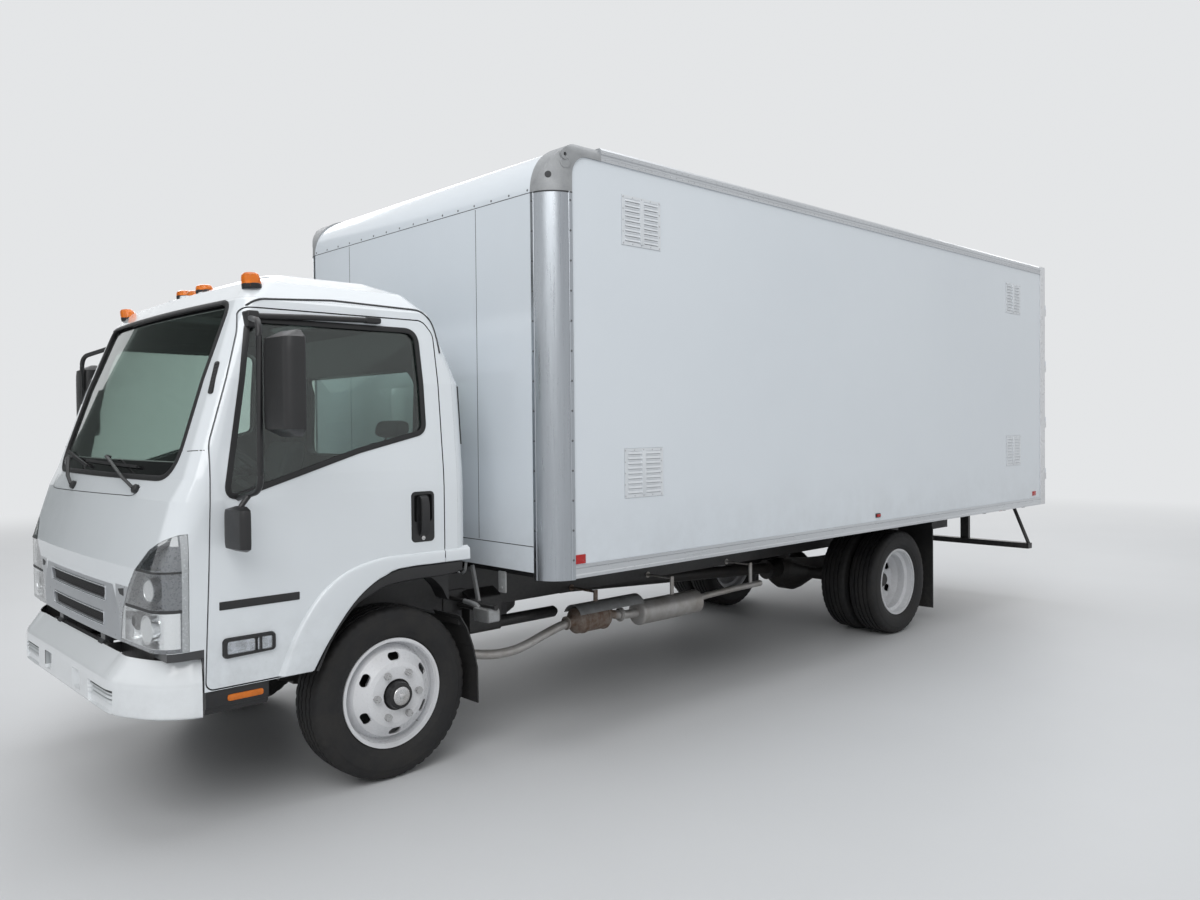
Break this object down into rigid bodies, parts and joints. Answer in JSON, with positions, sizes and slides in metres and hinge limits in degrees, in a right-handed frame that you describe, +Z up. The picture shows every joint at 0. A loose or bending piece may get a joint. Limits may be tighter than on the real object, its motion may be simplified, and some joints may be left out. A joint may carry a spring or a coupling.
{
  "type": "box truck",
  "caption": "Low cab-forward box truck: tilting cab, ladder chassis, steered front wheels, twin rear wheels and a van body with swing cargo doors.",
  "frame": {"origin": "on the ground under the middle of the truck's overall box", "axes": "+Z up; +Y towards the rear, so the front faces -Y; +X towards the driver's side"},
  "size_m": [2.83, 7.95, 3.088],
  "materials": {
    "white_paint": "gloss",
    "white_panel": "gloss",
    "body_aluminium": "satin",
    "casting_grey": "matte",
    "chassis_black": "satin",
    "axle_black": "satin",
    "engine_iron": "matte",
    "exhaust_steel": "weathered",
    "flap_rubber": "matte",
    "red_lens": "gloss",
    "amber_lens": "gloss",
    "floor_wood": "worn",
    "tinted_glass": "gloss",
    "lamp_lens": "gloss",
    "clear_lens": "gloss",
    "grille_silver": "satin",
    "cab_plastic": "matte",
    "seat_cloth": "woven",
    "trim_black": "satin",
    "tyre": "matte",
    "wheel_white": "satin"
  },
  "bodies": {
    "chassis": {"chassis_frame": "chassis_black", "front_axle": "axle_black", "rear_axle": "axle_black", "leaf_springs": "axle_black", "drive_shaft": "axle_black", "engine_block": "engine_iron", "fuel_tank": "chassis_black", "battery_box": "chassis_black", "exhaust": "exhaust_steel", "bumper": "white_paint", "mud_flaps": "flap_rubber", "underride_guard": "chassis_black", "tail_lamps": "red_lens", "box_floor": "floor_wood", "box_front_wall": "white_panel", "box_nose_cap": "white_panel", "box_side_left": "white_panel", "box_side_right": "white_panel", "box_roof": "white_panel", "corner_posts": "body_aluminium", "corner_castings": "casting_grey", "top_rails": "body_aluminium", "bottom_rails": "body_aluminium", "side_vents": "body_aluminium", "rear_frame": "white_paint"},
    "cab": {"cab_shell": "white_paint", "cab_roof": "white_paint", "cab_back_panel": "white_paint", "cab_mouldings": "trim_black", "cab_glass": "tinted_glass", "headlamps": "lamp_lens", "headlamp_lenses": "clear_lens", "grille": "grille_silver", "dashboard": "cab_plastic", "seats": "seat_cloth", "steering_wheel": "cab_plastic", "roof_lamps": "amber_lens"},
    "cab_door_left": {"door_left": "white_paint", "door_glass_left": "tinted_glass", "door_fittings_left": "trim_black", "mirror_left": "trim_black"},
    "cab_door_right": {"door_right": "white_paint", "door_glass_right": "tinted_glass", "door_fittings_right": "trim_black", "mirror_right": "trim_black"},
    "knuckle_left": {"knuckle_left": "axle_black"},
    "knuckle_right": {"knuckle_right": "axle_black"},
    "tie_rod": {"tie_rod": "axle_black"},
    "wheel_front_left": {"front_tyre_left": "tyre", "front_wheel_left": "wheel_white"},
    "wheel_front_right": {"front_tyre_right": "tyre", "front_wheel_right": "wheel_white"},
    "wheels_rear_left": {"rear_tyres_left": "tyre", "rear_wheels_left": "wheel_white"},
    "wheels_rear_right": {"rear_tyres_right": "tyre", "rear_wheels_right": "wheel_white"},
    "cargo_door_left": {"cargo_door_left": "white_panel"},
    "cargo_door_right": {"cargo_door_right": "white_panel"}
  },
  "joints": [
    {"name": "cab_tilt", "type": "hinge", "parent": "chassis", "child": "cab", "pos_m": [0, -3.88, 0.728], "axis": [1, 0, 0], "range_deg": [0, 45]},
    {"name": "door_left_hinge", "type": "hinge", "parent": "cab", "child": "cab_door_left", "pos_m": [1.003, -3.6975, 1.3], "axis": [0, 0, -1], "range_deg": [0, 70]},
    {"name": "door_right_hinge", "type": "hinge", "parent": "cab", "child": "cab_door_right", "pos_m": [-1.003, -3.6975, 1.3], "axis": [0, 0, 1], "range_deg": [0, 70]},
    {"name": "steer_left", "type": "hinge", "parent": "chassis", "child": "knuckle_left", "pos_m": [0.712, -2.8, 0.4065], "axis": [0, 0, 1], "range_deg": [-35, 35]},
    {"name": "steer_right", "type": "hinge", "parent": "chassis", "child": "knuckle_right", "pos_m": [-0.712, -2.8, 0.4065], "axis": [0, 0, 1], "range_deg": [-35, 35]},
    {"name": "tie_rod_pivot", "type": "hinge", "parent": "knuckle_left", "child": "tie_rod", "pos_m": [0.672, -2.61, 0.295], "axis": [0, 0, 1], "range_deg": [-35, 35]},
    {"name": "roll_front_left", "type": "hinge", "parent": "knuckle_left", "child": "wheel_front_left", "pos_m": [0.822, -2.8, 0.4065], "axis": [1, 0, 0], "continuous": true},
    {"name": "roll_front_right", "type": "hinge", "parent": "knuckle_right", "child": "wheel_front_right", "pos_m": [-0.822, -2.8, 0.4065], "axis": [1, 0, 0], "continuous": true},
    {"name": "roll_rear_left", "type": "hinge", "parent": "chassis", "child": "wheels_rear_left", "pos_m": [0.8255, 1.67, 0.4065], "axis": [1, 0, 0], "continuous": true},
    {"name": "roll_rear_right", "type": "hinge", "parent": "chassis", "child": "wheels_rear_right", "pos_m": [-0.8255, 1.67, 0.4065], "axis": [1, 0, 0], "continuous": true},
    {"name": "cargo_left_hinge", "type": "hinge", "parent": "chassis", "child": "cargo_door_left", "pos_m": [1.281, 3.965, 1.9], "axis": [0, 0, -1], "range_deg": [0, 250]},
    {"name": "cargo_right_hinge", "type": "hinge", "parent": "chassis", "child": "cargo_door_right", "pos_m": [-1.281, 3.965, 1.9], "axis": [0, 0, 1], "range_deg": [0, 250]}
  ],
  "couplings": [
    {"joint": "steer_right", "follows": "steer_left", "ratio": 1},
    {"joint": "tie_rod_pivot", "follows": "steer_left", "ratio": -1}
  ]
}
